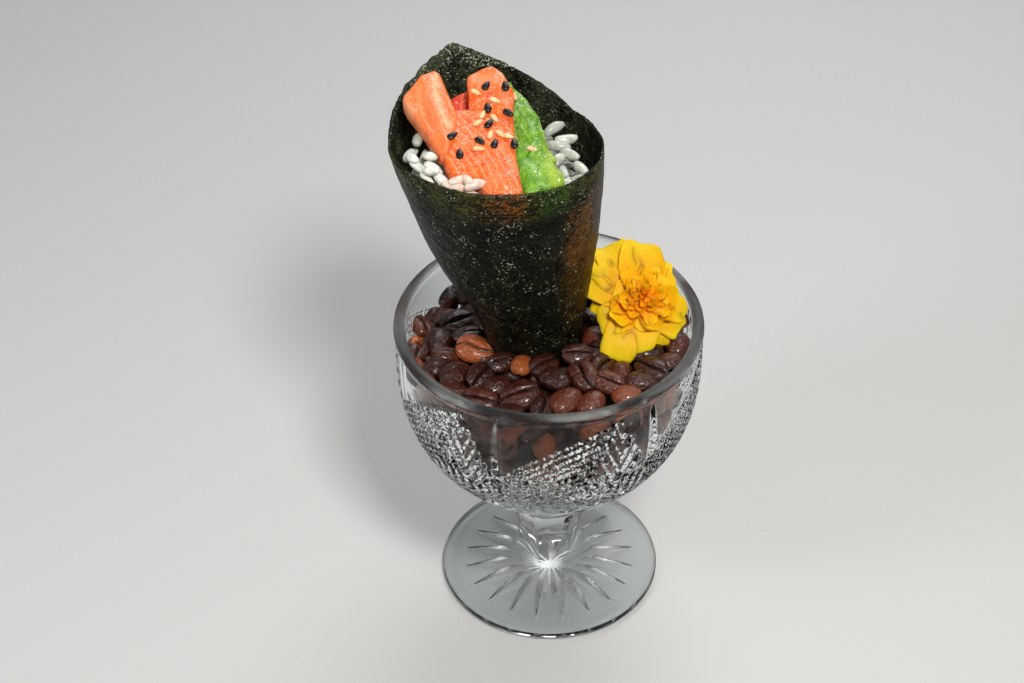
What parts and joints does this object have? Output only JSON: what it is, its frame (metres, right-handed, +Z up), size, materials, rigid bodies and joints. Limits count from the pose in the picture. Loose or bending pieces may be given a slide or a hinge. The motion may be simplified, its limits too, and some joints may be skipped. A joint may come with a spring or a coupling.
{
  "type": "temaki hand roll standing in a dish of coffee beans",
  "caption": "Nori cone filled with rice, salmon and avocado, standing in coffee beans in a stemmed cut-glass dish beside a marigold flower.",
  "frame": {"origin": "centre of the dish's foot, on its flat underside", "axes": "+Z up along the dish's axis, -Y towards the front of the arrangement, +X to its right"},
  "size_m": [0.09, 0.09, 0.1727],
  "materials": {
    "cut_glass": "clear pressed glass with cut windows and hobnail",
    "nori": "dry crinkled seaweed sheet, near black green",
    "rice": "moist cooked rice",
    "salmon": "moist raw fish with pale fat lines",
    "avocado": "moist green flesh",
    "coffee_beans": "roasted, slightly oily",
    "marigold": "soft yellow petals with orange bases"
  },
  "bodies": {
    "root": {"glass": "cut_glass", "nori": "nori", "rice": "rice", "salmon_left": "salmon", "salmon_front": "salmon", "salmon_back": "salmon", "salmon_inner": "salmon", "avocado": "avocado", "coffee_beans": "coffee_beans", "marigold": "marigold"}
  },
  "joints": []
}
